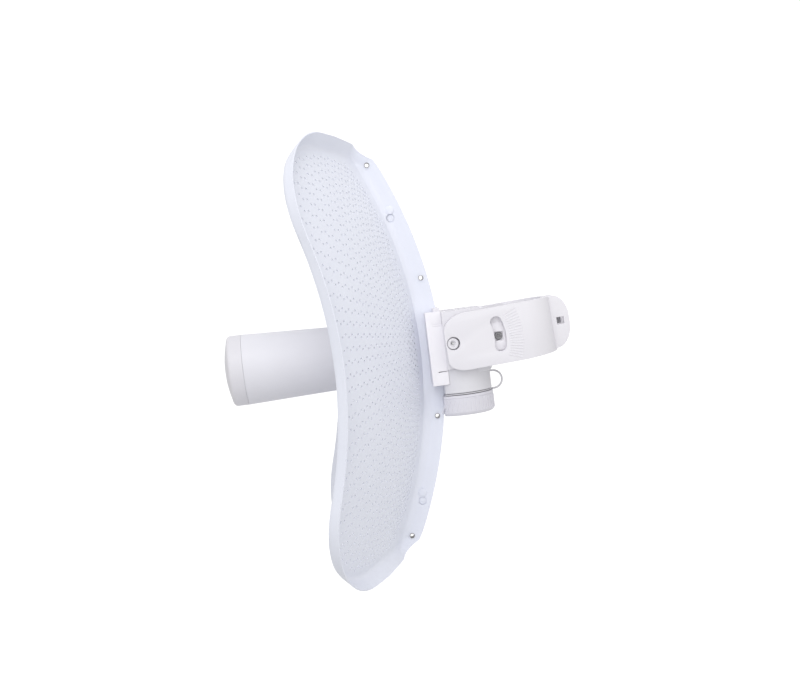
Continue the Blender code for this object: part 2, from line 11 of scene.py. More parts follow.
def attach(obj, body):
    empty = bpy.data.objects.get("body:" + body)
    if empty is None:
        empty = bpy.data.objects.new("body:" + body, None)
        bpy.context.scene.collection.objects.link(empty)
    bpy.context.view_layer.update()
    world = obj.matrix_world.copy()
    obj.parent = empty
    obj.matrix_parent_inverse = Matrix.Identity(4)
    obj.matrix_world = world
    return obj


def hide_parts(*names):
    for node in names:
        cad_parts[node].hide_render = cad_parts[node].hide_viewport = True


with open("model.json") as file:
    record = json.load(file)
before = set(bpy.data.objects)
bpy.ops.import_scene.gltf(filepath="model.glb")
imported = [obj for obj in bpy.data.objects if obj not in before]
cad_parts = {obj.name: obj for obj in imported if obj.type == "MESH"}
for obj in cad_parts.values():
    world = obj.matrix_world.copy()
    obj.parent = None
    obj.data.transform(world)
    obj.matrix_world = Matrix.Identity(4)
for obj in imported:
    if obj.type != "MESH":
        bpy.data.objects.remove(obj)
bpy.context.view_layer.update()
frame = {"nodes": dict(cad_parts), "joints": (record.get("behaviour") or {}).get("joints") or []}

LEFT = -1
RIGHT = 1
SIDES = {"left": LEFT, "right": RIGHT}
MM = 0.001

# The tilt axis. The dish's own axes have x back along the feed and z up the dish, from the sheet's bend.
TILT = frame["joints"][0]
PIVOT = Vector(TILT["pos_m"])
REST_ELEVATION = math.radians(2.6)
PIVOT_BEHIND_BEND = 0.0240
PIVOT_ABOVE_FEED = 0.0019
DISH = (
    Matrix.Translation(PIVOT)
    @ Matrix.Rotation(REST_ELEVATION, 4, "Y")
    @ Matrix.Translation((-PIVOT_BEHIND_BEND, 0, -PIVOT_ABOVE_FEED))
)
BRACKET = Matrix.Translation(PIVOT)

# Reflector
SHEET = 0.0009
VALLEY_SLOPE = 0.42
FOCUS_ACROSS = 0.220
FOCUS_ALONG = 0.168
FLOOR_INNER = 0.0043
FLOOR_OUTER = 0.1248
FLOOR_HALF_HEIGHT = 0.1656
END_DROOP = 0.0096
DROOP_HALF_WIDTH = 0.060
DROOP_FROM = 0.100
OUTER_CORNER = 0.067
CORNER_POWER = 2.12
INNER_CORNER = 0.005
INNER_STRAIGHT = 0.160

# The wall in steps out and back from the floor's edge: the rim's sides, the rim's ends and the flange.
# Towards the bend the ends' wall gets shallower, and the flange's ends rise and run out into it.
SIDE_WALL = (
    (0.0012, -0.0010),
    (0.0024, -0.0015),
    (0.0037, -0.0014),
    (0.0052, -0.0004),
    (0.0061, 0.00044),
    (0.0112, 0.0052),
)
END_WALL = (
    (0.0012, -0.0007),
    (0.0024, -0.0010),
    (0.0038, -0.0008),
    (0.0054, 0.0002),
    (0.0066, 0.00133),
    (0.0135, 0.0078),
)
FLANGE_WALL = (
    (0.0008, 0.0010),
    (0.0015, 0.0023),
    (0.0021, 0.0041),
    (0.0024, 0.0066),
    (0.00212, 0.00793),
    (0.0001, 0.0177),
)
END_WALL_SHALLOW = 0.35
END_WALL_DEEP_AT = 0.040
FLANGE_ROUND = 0.0010
FLANGE_RISE = 0.0045
FLANGE_RISE_FROM = 0.130
FLANGE_RISE_TO = 0.152
SPINE_REACH = 0.030
SPINE_FADE = 0.012
PIN_HOLES = ((0.0056, 0.057), (0.0056, -0.057), (-0.0270, 0.153), (-0.0270, -0.153))
PIN_HOLE_RADIUS = 0.0021
PIN_HOLE_REACH = 0.015
EYELET_BORE = 0.0017
EYELET_PROUD = 0.0014
RAISED_STUDS = ((-0.0130, 0.1148), (-0.0142, -0.1186))
SUNKEN_STUDS = ((-0.0130, 0.1082), (-0.0150, -0.1254))
STUD_RADIUS = 0.0034
STUD_DEPTH = 0.0009
STUD_GROOVE = 0.0005
PRICK_MARK = (-0.0105, -0.1307)
PRICK_RADIUS = 0.0006
PRICK_DEPTH = 0.0008

# Perforation, in millimetres and degrees: straight rows that fan out from the bend, each with its holes
# by turns above and below the row's line
HOLE_RADIUS = 0.98
HOLE_SIDES = 10
ROWS_UP = 23
ROW_PITCH = 4.03
ROW_FAN = 3.04
MIDDLE_ROW = -0.25
RINGS = 42
RING_PITCH = 3.58
FIRST_RING = 11.4
RING_DRAW = 0.048
ZIGZAG = 1.1
PLAIN_EDGE = 7.6
PLAIN_END = 2.6
PLAIN_END_FROM = 125.0
PLAIN_END_TO = 158.0

# Feed
TUBE_START = 0.0243
TUBE_END = 0.1456
TUBE_RADII = (0.0243, 0.0288)
TUBE_EDGE = 0.0005
SEAM = 0.00012
FACE_TIP = 0.1620
FACE_SHOULDER = 0.1582
FACE_ROUND = 0.0035

# Clip, tilt block, cable port and clamp nut, in millimetres. All but the nut are on the dish's own axes.
CLIP_FRONT = 4.4
CLIP_REAR = 17.7
CLIP_TOP = 28.4
CLIP_BOTTOM = -31.2
CLIP_SIDES = (5.4, 21.5)
LATCH_STEP = (16.9, 17.9)
LATCH_SLIT = ((9.8, -20.75), (18.5, -20.2), (18.5, -19.85), (9.8, -20.0))
LATCH_SLIT_SIDES = (8.0, 24.0)
FINE_LINES = (((9.2, 21.15, 16.6), (18.5, 22.0, 16.9)), ((9.2, 21.15, 18.3), (18.5, 22.0, 18.6)))
CROWN = ((11.4, -17.0, 27.0), (16.9, 17.0, 31.4))
BACK_PLATE = ((16.7, -21.0, -18.6), (17.5, 21.0, 27.6))
BLOCK = ((17.3, -25.5, -19.0), (51.5, 25.5, 27.8))
TOP_CORE = (7.8, 14.0)
TOP_CORE_FRONTS = (21.0, 31.2, 41.4)
TOP_CORE_SIDES = (-22.5, -7.0, 8.5)
TOP_CORE_LEVELS = (16.0, 30.0)
REAR_CORE_WIDTH = 17.5
REAR_CORE_REACH = (44.0, 54.0)
REAR_CORE_SIDES = (-19.0, 1.5)
REAR_CORE_LEVELS = ((-14.5, -2.0), (1.0, 12.5))
LOCK = (61.08, 3.26)
LUG = ((51.8, 21.4, -8.0), (67.5, 25.9, 14.5))
LUG_WEBS = (((51.0, 21.6, 13.0), (66.0, 25.0, 20.4)), ((51.0, 21.6, -12.0), (66.0, 25.0, -7.0)))
POCKET = 7.4
POCKET_REACH = (23.2, 30.0)
BOSS_FORWARD = 0.45
PORT_CENTRE = 29.0
PORT_FRONT = 13.5
PORT_GROOVE = (18.8, 5.8)
NECK_RADIUS = 24.0
NECK_TOP = -19.3
NECK_BOTTOM = -39.0
CAP_RADIUS = 24.6
CAP_FRONT = 11.8
CAP_TOP = -40.9
CAP_BOTTOM = -57.4
CAP_FOOT = 3.4
NECK_EDGE = 0.4
NECK_STEP = ((PORT_FRONT - 2, -25, CLIP_BOTTOM - 0.3), (CLIP_REAR + 0.2, 25, 0))
LIP = ((26.2, NECK_TOP), (26.2, NECK_TOP - 3.0), (25.4, NECK_TOP - 4.6), (NECK_RADIUS, NECK_TOP - 5.4))
LIP_REACH = 20.0
LIP_CUT = ((0, -30, -30), (36.0, 30, 0))
GASKET = ((23.2, -39.5), (23.5, -39.7), (23.5, -40.2), (23.2, -40.4))
CAP_BEADS = ((-0.3, 0.0), (0.1, -0.4), (0.1, -1.9), (-0.35, -2.1), (-0.35, -2.4), (0.0, -2.7))
NUB = ((36.2, -13.4, CAP_BOTTOM - 0.6), (38.4, -10.8, CAP_BOTTOM + 0.2))
RIBS = 15
RIB_ARC = (128, 14)
RIB = (0.8, 1.3, 10.5)
RIB_TOP = CAP_TOP - 3.4
RIB_LEAN = 0.62
RIB_LEAN_FROM = 6.0
RIB_LEAN_OVER = 20.0
TETHER_CENTRE = (55.0, -33.0)
TETHER_RADIUS = 7.3
TETHER_THICK = 1.6
TETHER_ENDS = ((52.0, -25.4), (51.0, -40.3))
CLAMP_NUT_WIDTH = 12.0
CLAMP_NUT_REACH = (12.0, 16.6)

# Turned shapes that lie across the dish: each point's radius and its distance out, in millimetres
BOLT = ((0, 24.3), (1.0, 24.3), (1.4, 24.9), (1.9, 25.3), (2.3, 25.3), (2.95, 24.7), (2.95, 16.0), (0, 16.0))
BOSS = (
    (0, 24.0),
    (1.5, 24.0),
    (1.5, 28.3),
    (2.2, 28.5),
    (2.5, 29.8),
    (4.1, 29.8),
    (4.4, 29.6),
    (4.55, 29.3),
    (4.55, 22.0),
    (0, 22.0),
)
PIVOT_PIN = ((0, 27.6), (1.2, 27.6), (1.4, 27.3), (1.4, 24.2), (0, 24.2))
LUG_BORE = ((0, 30.0), (3.2, 30.0), (3.2, 0.0), (0, 0.0))
NUT_BORE = ((0, 30.0), (2.5, 30.0), (2.5, 13.5), (0, 13.5))

# Pole bracket, measured back from the pivot
ARM_OUTER = 0.0310
ARM_INNER = 0.0265
ARM_TOP = 0.0232
ARM_FRONT = -0.0063
BLANK_SPARE = 0.002
JAW_START = 0.0599
JAW_CENTRE_Y = 0.0070
JAW_OUTER = 0.0240
EAR_OUTER_Y = 0.0120
EAR_END = 0.0978
EAR_HOLE = (0.0904, 0.0028, 0.0060)
SLOT_WIDTH = 0.0094
SLOT_HALF_SWING = math.radians(14.6)
SLOT_MIDDLE = math.radians(2.6)
SLOT_RADIUS = 0.0380
PIVOT_BORE = 0.0053
ARM_EDGE = 0.0006
POLE_CENTRE = 0.0615
POLE_RADIUS = 0.0190
SADDLE_WALL = 0.0026
SEAT_HALF_WIDTH = 0.0040
WING_FRONT = 0.0505
WING_GAP = 0.0003
SADDLE_TOP = 0.0215
SADDLE_BOTTOM = -0.0140

# The arms' corners from the side, each a centre, two radii, the first and the last angle and its steps.
# The underside runs between the ear's lower corner and the front one.
ARM_CORNERS = (
    ((0.0137, 0.0092), (0.0137 - ARM_FRONT, ARM_TOP - 0.0092), 180, 90, 20),
    ((0.0860, 0.0062), (EAR_END - 0.0860, 0.0178), 90, 0, 18),
    ((0.0845, 0.0008), (EAR_END - 0.0845, 0.0198), 0, -90, 18),
    ((0.0090, -0.0140), (0.0090 - ARM_FRONT, 0.0089), -90, -180, 16),
)
ARM_UNDERSIDE = [(0.0838, -0.0206), (0.0570, -0.0223)]

# Rows of bars on an arc: how many, their radius, the first and the last angle. Then the size of one.
SCALE_TICKS = (18, 0.0512, 20.6, -20.8)
SCALE_TICK = (0.0110, 0.00055, 0.00055)
JAW_TEETH = (9, JAW_OUTER - 0.0046, 14, 84)
JAW_TOOTH = (0.0012, 0.0013, 0.0330)
JAW_TEETH_MIDDLE = 0.001
SADDLE_TEETH = ((9, POLE_RADIUS, 98, 162), (9, POLE_RADIUS, 198, 262))
SADDLE_TOOTH = (0.0010, 0.0012, 0.0330)

# Camera: the photograph's eye and aim on the dish's own axes
EYE = Vector((-0.0586, -1.2000, 0.0738))
AIM = Vector((-0.01826, 0, 0.00028))
CAMERA_ROLL = math.radians(7.13)
FOCAL_PIXELS = 1465.5
PHOTO_WIDTH = 800
SENSOR = 36

# Studio: each lamp's place, target, size and power
FLOOR_LEVEL = -0.60
FLOOR_RADIUS = 0.50
ROOM_LIGHT = 0.84
ROOM_LIGHT_ABOVE = 0.24
ROOM_SHADE_IN_FRONT = 0.38
SHADE_SPREAD = (0.30, 0.95)
WINDOW_LIGHT = 1.15
WINDOW_EDGE = (0.80, 0.90)
LAMPS = (
    ("overhead", (-0.20, -0.75, 0.75), (0, 0, 0), 0.6, 2.6),
    ("right_of_camera", (0.25, -1.90, 0.40), (0, 0, 0), 1.0, 1.5),
    ("left_of_camera", (-0.35, -1.90, 0.50), (0, 0, 0), 1.0, 2.2),
    ("far_left", (-1.20, -1.50, 0.30), (0, 0, 0), 1.2, 4.5),
)


class Value:
    """A socket of a node graph. Arithmetic on it adds Math nodes."""

    def __init__(self, graph, socket):
        self.graph = graph
        self.socket = socket

    def maths(self, operation, *others):
        return self.graph.maths(operation, self, *others)

    def __add__(self, other):
        return self.maths("ADD", other)

    def __sub__(self, other):
        return self.maths("SUBTRACT", other)

    def __mul__(self, other):
        return self.maths("MULTIPLY", other)

    def __truediv__(self, other):
        return self.maths("DIVIDE", other)

    def __radd__(self, other):
        return self.graph.maths("ADD", other, self)

    def __rsub__(self, other):
        return self.graph.maths("SUBTRACT", other, self)

    def __rmul__(self, other):
        return self.graph.maths("MULTIPLY", other, self)


class Graph:
    """A node tree that is written as expressions."""

    def __init__(self, tree):
        self.tree = tree

    def add(self, kind, settings=None, sockets=None, output=0):
        """Any node: its settings are set first, then its sockets by name or number."""
        node = self.tree.nodes.new(kind)
        for name, value in (settings or {}).items():
            setattr(node, name, value)
        for name, value in (sockets or {}).items():
            self.feed(node.inputs[name], value)
        return Value(self, node.outputs[output])

    def feed(self, socket, value):
        if isinstance(value, Value):
            self.tree.links.new(value.socket, socket)
        else:
            socket.default_value = value

    def maths(self, operation, *values):
        return self.add("ShaderNodeMath", {"operation": operation}, dict(enumerate(values)))

    def split(self, vector):
        """A vector's three parts."""
        node = self.tree.nodes.new("ShaderNodeSeparateXYZ")
        self.feed(node.inputs[0], vector)
        return [Value(self, output) for output in node.outputs]

    def ramp(self, value, low, high):
        """An eased step from 0 at low to 1 at high."""
        settings = {"interpolation_type": "SMOOTHSTEP"}
        return self.add("ShaderNodeMapRange", settings, {0: value, 1: low, 2: high})

    def mix(self, share, first, second):
        """A colour between two."""
        sockets = {0: share, 6: first, 7: second}
        return self.add("ShaderNodeMix", {"data_type": "RGBA"}, sockets, 2)


class Finish(Graph):
    """One material: the nodes that make it, and its Principled shader."""

    def __init__(self, name, roughness, metallic=0.0):
        self.material = bpy.data.materials.new(name)
        self.material.use_nodes = True
        super().__init__(self.material.node_tree)
        self.shader = self.tree.nodes["Principled BSDF"]
        self.shader.inputs["Roughness"].default_value = roughness
        self.shader.inputs["Metallic"].default_value = metallic
        self.place = self.add("ShaderNodeTexCoord", output="Object")

    def set(self, name, value):
        self.feed(self.shader.inputs[name], value)

    def noise(self, scale, detail=2.0, roughness=0.5):
        """Noise from 0 to 1, with its scale in features to the metre."""
        sockets = {"Vector": self.place, "Scale": scale, "Detail": detail, "Roughness": roughness}
        return self.add("ShaderNodeTexNoise", None, sockets)

    def bump(self, height, strength, distance):
        sockets = {"Height": height, "Strength": strength, "Distance": distance}
        self.set("Normal", self.add("ShaderNodeBump", None, sockets))


class GeometryTree(Graph):
    """A Geometry Nodes tree with named inputs, which passes one geometry through."""

    def __init__(self, name):
        super().__init__(bpy.data.node_groups.new(name, "GeometryNodeTree"))
        self.sides = self.tree.interface
        self.sides.new_socket("Geometry", in_out="INPUT", socket_type="NodeSocketGeometry")
        self.sides.new_socket("Geometry", in_out="OUTPUT", socket_type="NodeSocketGeometry")
        self.start = self.tree.nodes.new("NodeGroupInput")
        self.end = self.tree.nodes.new("NodeGroupOutput")
        self.names = {}
        self.geometry = Value(self, self.start.outputs[0])

    def size(self, name, value):
        """A named input, with its value."""
        kind = "NodeSocketInt" if isinstance(value, int) else "NodeSocketFloat"
        socket = self.sides.new_socket(name, in_out="INPUT", socket_type=kind)
        self.names[socket.identifier] = value
        return Value(self, self.start.outputs[name])

    def finish(self, geometry, material):
        """Ends the tree with realised instances in one material."""
        whole = self.add("GeometryNodeRealizeInstances", None, {0: geometry})
        sockets = {"Geometry": whole, "Material": material}
        dressed = self.add("GeometryNodeSetMaterial", None, sockets)
        self.feed(self.end.inputs[0], dressed)

    def grow(self, mesh):
        """The plain mesh that the tree makes of this one."""
        thing = link(mesh.name, mesh)
        modifier = thing.modifiers.new("nodes", "NODES")
        modifier.node_group = self.tree
        for identifier, value in self.names.items():
            modifier[identifier] = value
        return evaluated(thing)


def evaluated(thing):
    """The plain mesh of an object with its modifiers worked in. The object goes."""
    seen = thing.evaluated_get(bpy.context.evaluated_depsgraph_get())
    mesh = bpy.data.meshes.new_from_object(seen)
    bpy.data.objects.remove(thing)
    return mesh


def painted_sheet():
    """Pale blue powder coat: a fine orange peel and a faint unevenness of colour."""
    finish = Finish("powder_coat", 0.45)
    cloud = finish.noise(22, 3.0)
    colour = finish.mix(cloud, (0.727, 0.747, 0.833, 1), (0.777, 0.796, 0.873, 1))
    finish.set("Base Color", colour)
    finish.set("Roughness", 0.40 + cloud * 0.10)
    finish.bump(finish.noise(1500), 0.12, 0.0002)
    return finish.material


def moulded_plastic(name, dark, light, roughness, grain=2600):
    """Moulded plastic with a spark-eroded grain and slow colour change."""
    finish = Finish(name, roughness)
    cloud = finish.noise(35)
    finish.set("Base Color", finish.mix(cloud, (*dark, 1), (*light, 1)))
    finish.set("Roughness", roughness - 0.05 + cloud * 0.10)
    finish.bump(finish.noise(grain, 3.0, 0.6), 0.16, 0.00012)
    return finish.material


def blackened_steel():
    """Blackened steel, a little worn to grey by the spanner."""
    finish = Finish("blackened_steel", 0.38, 0.85)
    wear = finish.noise(900, 4.0, 0.65)
    finish.set("Base Color", finish.mix(wear, (0.012, 0.012, 0.014, 1), (0.075, 0.073, 0.078, 1)))
    finish.set("Roughness", 0.28 + wear * 0.25)
    finish.bump(wear, 0.10, 0.0001)
    return finish.material


powder_coat = painted_sheet()
bracket_white = moulded_plastic("bracket_white", (0.71, 0.697, 0.735), (0.75, 0.737, 0.775), 0.50)
# The bracket's white made lighter for the clip cheeks and the tilt lugs: painted light, which makes up for
# the shade that the reflector's near half casts on the cheeks and the slot casts on the lugs.
clip_white = moulded_plastic("clip_white", (0.81, 0.795, 0.835), (0.85, 0.835, 0.875), 0.50)
feed_white = moulded_plastic("feed_white", (0.69, 0.685, 0.73), (0.73, 0.725, 0.77), 0.46)
# A darker copy of the feed's white for the cap's front face: painted shade, for the face that is turned away
# from the light.
feed_face = moulded_plastic("feed_face", (0.648, 0.638, 0.677), (0.688, 0.678, 0.717), 0.46)
neck_grey = moulded_plastic("neck_grey", (0.65, 0.645, 0.68), (0.69, 0.685, 0.72), 0.48)
cap_grey = moulded_plastic("cap_grey", (0.652, 0.642, 0.695), (0.711, 0.701, 0.755), 0.50)
dark_steel = blackened_steel()
# A dark grey: the lock bolts' own colour, and on the pin-hole eyelets painted shade for the holes' shadowed
# walls.
grey_steel = moulded_plastic("grey_steel", (0.20, 0.20, 0.21), (0.31, 0.305, 0.31), 0.42, 1800)
zinc_grey = moulded_plastic("zinc_grey", (0.58, 0.58, 0.59), (0.68, 0.68, 0.69), 0.40, 1800)
cord_grey = moulded_plastic("cord_grey", (0.62, 0.61, 0.64), (0.68, 0.67, 0.70), 0.62, 1400)


def mesh_from(shape, name):
    mesh = bpy.data.meshes.new(name)
    shape.to_mesh(mesh)
    shape.free()
    return mesh


def link(name, data):
    """Adds an object with this data to the scene."""
    thing = bpy.data.objects.new(name, data)
    bpy.context.scene.collection.objects.link(thing)
    return thing


def smooth(mesh, angle=30):
    mesh.shade_smooth()
    mesh.set_sharp_from_angle(angle=math.radians(angle))


def piece(name, mesh, material, place, body, nodes=()):
    """Adds a finished piece with its place in its mesh, riding on a body and standing for CAD nodes."""
    mesh.transform(place)
    mesh.materials.clear()
    mesh.materials.append(material)
    thing = link(name, mesh)
    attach(thing, body)
    if nodes:
        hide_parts(*nodes)


def dish_piece(name, mesh, material, nodes=()):
    """A piece that tilts with the dish."""
    piece(name, mesh, material, DISH, "dish_assembly", nodes)


def bracket_piece(name, mesh, material, nodes=()):
    """A piece that stays with the pole."""
    piece(name, mesh, material, BRACKET, "pole_bracket", nodes)


def arc(centre, radii, start, stop, steps):
    """Points on part of an ellipse, with the angles in degrees."""
    points = []
    for step in range(steps + 1):
        angle = math.radians(start + (stop - start) * step / steps)
        points.append((centre[0] + radii[0] * math.cos(angle), centre[1] + radii[1] * math.sin(angle)))
    return points


def mm(*sizes):
    """Sizes in millimetres, as metres."""
    return tuple(size * MM for size in sizes)


def box(low, high):
    """A box between two corners given in millimetres."""
    shape = bmesh.new()
    bmesh.ops.create_cube(shape, size=1)
    for vertex in shape.verts:
        vertex.co = [(a + (b - a) * (c + 0.5)) * MM for a, b, c in zip(low, high, vertex.co)]
    return mesh_from(shape, "box")


def joined(name, meshes):
    shape = bmesh.new()
    for mesh in meshes:
        shape.from_mesh(mesh)
    return mesh_from(shape, name)


def mirrored(mesh, side):
    """A copy of a mesh made for the right, on this side."""
    mesh = mesh.copy()
    if side == LEFT:
        mesh.transform(Matrix.Scale(-1, 4, (0, 1, 0)))
        mesh.flip_normals()
    return mesh


def carved(name, blank, cutters=(), within=None, edge=0.0, steps=3):
    """A mesh with others cut from it, or kept only inside one, and its sharp edges rounded."""
    body = link(name, blank)
    tools = []
    for mesh in [within, *cutters]:
        if mesh is None:
            continue
        cut = body.modifiers.new("cut", "BOOLEAN")
        cut.operation = "INTERSECT" if mesh == within else "DIFFERENCE"
        cut.solver = "EXACT"
        cut.object = link("cutter", mesh)
        tools.append(cut.object)
    if edge:
        rounding = body.modifiers.new("edges", "BEVEL")
        rounding.width = edge
        rounding.segments = steps
        rounding.limit_method = "ANGLE"
        rounding.angle_limit = math.radians(50)
    mesh = evaluated(body)
    for cutter in tools:
        bpy.data.objects.remove(cutter)
    smooth(mesh, 32)
    return mesh


def turned(name, profile, steps=96, closed=False):
    """A solid of revolution about the feed's axis. Each profile point is a radius and a distance forward."""
    shape = bmesh.new()
    rings = []
    for radius, forward in profile:
        if radius == 0:
            rings.append([shape.verts.new((-forward, 0, 0))])
            continue
        ring = []
        for step in range(steps):
            angle = math.tau * step / steps
            ring.append(shape.verts.new((-forward, radius * math.cos(angle), radius * math.sin(angle))))
        rings.append(ring)
    if closed:
        rings.append(rings[0])
    for first, second in zip(rings, rings[1:]):
        for step in range(steps):
            after = (step + 1) % steps
            corners = [first[step % len(first)], first[after % len(first)]]
            corners += [second[after % len(second)], second[step % len(second)]]
            corners = list(dict.fromkeys(corners))
            shape.faces.new(corners)
    bmesh.ops.recalc_face_normals(shape, faces=shape.faces)
    mesh = mesh_from(shape, name)
    smooth(mesh, 32)
    return mesh


def spindle(profile, steps, side, x, z):
    """A turned shape that lies across the dish, outwards on this side."""
    mesh = turned("spindle", [mm(*point) for point in profile], steps)
    mesh.transform(Matrix.Translation(mm(x, 0, z)) @ Matrix.Rotation(-side * math.pi / 2, 4, "Z"))
    return mesh


def line_through(name, points, dimensions):
    """A curve of straight parts through points in space."""
    curve = bpy.data.curves.new(name, "CURVE")
    curve.dimensions = dimensions
    spline = curve.splines.new("POLY")
    spline.points.add(len(points) - 1)
    for knot, point in zip(spline.points, points):
        knot.co = (*point, 1)
    return curve


def solid_of(name, curve, flat):
    """The solid that a curve makes, with its caps welded on and, if it is flat, its caps' faces merged."""
    shape = bmesh.new()
    shape.from_mesh(evaluated(link(name, curve)))
    bmesh.ops.remove_doubles(shape, verts=shape.verts, dist=1e-6)
    if flat:
        bmesh.ops.dissolve_limit(shape, angle_limit=0.001, verts=shape.verts, edges=shape.edges)
    bmesh.ops.recalc_face_normals(shape, faces=shape.faces)
    return mesh_from(shape, name)


def sheet_outline(name, points, thickness):
    """A closed outline in its own XY plane, thickened evenly to both sides."""
    curve = line_through(name, [(x, y, 0) for x, y in points], "2D")
    curve.fill_mode = "BOTH"
    curve.extrude = thickness / 2
    curve.splines[0].use_cyclic_u = True
    return solid_of(name, curve, flat=True)


def standing(points, low, high):
    """An outline drawn back and up, as thick as from low to high across."""
    mesh = sheet_outline("standing", points, high - low)
    mesh.transform(Matrix.Translation((0, (low + high) / 2, 0)) @ Matrix.Rotation(math.pi / 2, 4, "X"))
    return mesh


def disc(shape, place, radius, depth):
    bmesh.ops.create_cone(
        shape, cap_ends=True, segments=36, radius1=radius, radius2=radius, depth=depth, matrix=place
    )


def skin_x(y, z):
    """How far back the sheet lies: a shallow dish whose halves lean into a valley."""
    return -(VALLEY_SLOPE * abs(y) + y * y / (4 * FOCUS_ACROSS) + z * z / (4 * FOCUS_ALONG))


def past_corner(z, radius):
    """How far into a corner of this radius the height reaches, from 0 where it starts to 1 at the end."""
    above = abs(z) - (FLOOR_HALF_HEIGHT - radius)
    return min(max(above / radius, 0), 1)


def draw_in(share, radius, power):
    """How far a corner draws the outline in, this far up it."""
    return radius * (1 - (1 - share**power) ** (1 / power))


def floor_edge(y, z):
    """A point on the floor's edge, whose ends droop towards the middle of the dish."""
    share = max(abs(z) - DROOP_FROM, 0) / (FLOOR_HALF_HEIGHT - DROOP_FROM)
    z -= math.copysign(END_DROOP * share * max(1 - y / DROOP_HALF_WIDTH, 0), z)
    return Vector((skin_x(y, z), y, z))


def floor_outline():
    """The floor's edge as a loop: each point with its way out, across and up."""
    straight_end = FLOOR_HALF_HEIGHT - OUTER_CORNER
    heights = [straight_end * step / 20 for step in range(1, 21)]
    for step in range(1, 25):
        heights.append(straight_end + OUTER_CORNER * math.sin(math.pi / 2 * step / 24))
    outer = []
    for z in [-height for height in reversed(heights)] + [0.0] + heights:
        share = past_corner(z, OUTER_CORNER)
        up = share ** (CORNER_POWER - 1)
        across = (1 - share**CORNER_POWER) ** (1 - 1 / CORNER_POWER)
        length = math.hypot(up, across)
        y = FLOOR_OUTER - draw_in(share, OUTER_CORNER, CORNER_POWER)
        outer.append((floor_edge(y, z), across / length, math.copysign(up / length, z)))
    inner = []
    inner_heights = [INNER_STRAIGHT * step / 32 for step in range(1, 32)]
    straight_end = FLOOR_HALF_HEIGHT - INNER_CORNER
    for step in range(17):
        inner_heights.append(straight_end + INNER_CORNER * math.sin(math.pi / 2 * step / 16))
    for z in [-height for height in reversed(inner_heights)] + [0.0] + inner_heights:
        share = past_corner(z, INNER_CORNER)
        y = FLOOR_INNER + draw_in(share, INNER_CORNER, 2)
        inner.append((floor_edge(y, z), -math.sqrt(1 - share * share), math.copysign(share, z)))
    ends = []
    first = FLOOR_INNER + INNER_CORNER
    last = FLOOR_OUTER - OUTER_CORNER
    for step in range(1, 11):
        y = first + (last - first) * step / 11
        ends.append(y)
    top = [(floor_edge(y, FLOOR_HALF_HEIGHT), 0.0, 1.0) for y in reversed(ends)]
    bottom = [(floor_edge(y, -FLOOR_HALF_HEIGHT), 0.0, -1.0) for y in ends]
    return outer + top + list(reversed(inner)) + bottom


def wall_step(index, across, up, foot):
    """One step of the wall from the floor's edge, at this place round it: back, across and up."""
    end_out, end_back = END_WALL[index]
    end_back *= END_WALL_SHALLOW + (1 - END_WALL_SHALLOW) * min(foot.y / END_WALL_DEEP_AT, 1)
    if across < 0:
        side_out, side_back = FLANGE_WALL[index]
        side_out *= min(max((abs(foot.z) - SPINE_REACH) / SPINE_FADE, 0), 1)
        reach = min(max((abs(foot.z) - FLANGE_RISE_FROM) / (FLANGE_RISE_TO - FLANGE_RISE_FROM), 0), 1)
        depth = side_back / FLANGE_WALL[-1][1]
        rise = FLANGE_RISE * reach * depth
        side_back -= rise * abs(foot.z) / (2 * FOCUS_ALONG) + FLANGE_ROUND * reach**6 * depth
        back = end_back + (side_back - end_back) * (1 - abs(up)) ** 2
        out = rise + (end_out - rise) * abs(up)
        return Vector((back, across * side_out, math.copysign(out, foot.z)))
    side_out, side_back = SIDE_WALL[index]
    share = up * up
    out = side_out + (end_out - side_out) * share
    return Vector((side_back + (end_back - side_back) * share, across * out, up * out))


def reflector_walls(name):
    """The bent rim and the flange as an open sheet, with the fold line marked for the floor to meet."""
    outline = floor_outline()
    shape = bmesh.new()
    fold = shape.edges.layers.bool.new("fold")
    rings = [[shape.verts.new(foot) for foot, across, up in outline]]
    for index in range(len(SIDE_WALL)):
        ring = []
        for foot, across, up in outline:
            ring.append(shape.verts.new(foot + wall_step(index, across, up, foot)))
        rings.append(ring)
    count = len(outline)
    for index in range(count):
        after = (index + 1) % count
        edge = shape.edges.new((rings[0][index], rings[0][after]))
        edge[fold] = True
        for near, far in zip(rings, rings[1:]):
            shape.faces.new((near[index], near[after], far[after], far[index]))
    bmesh.ops.recalc_face_normals(shape, faces=shape.faces)
    return mesh_from(shape, name)


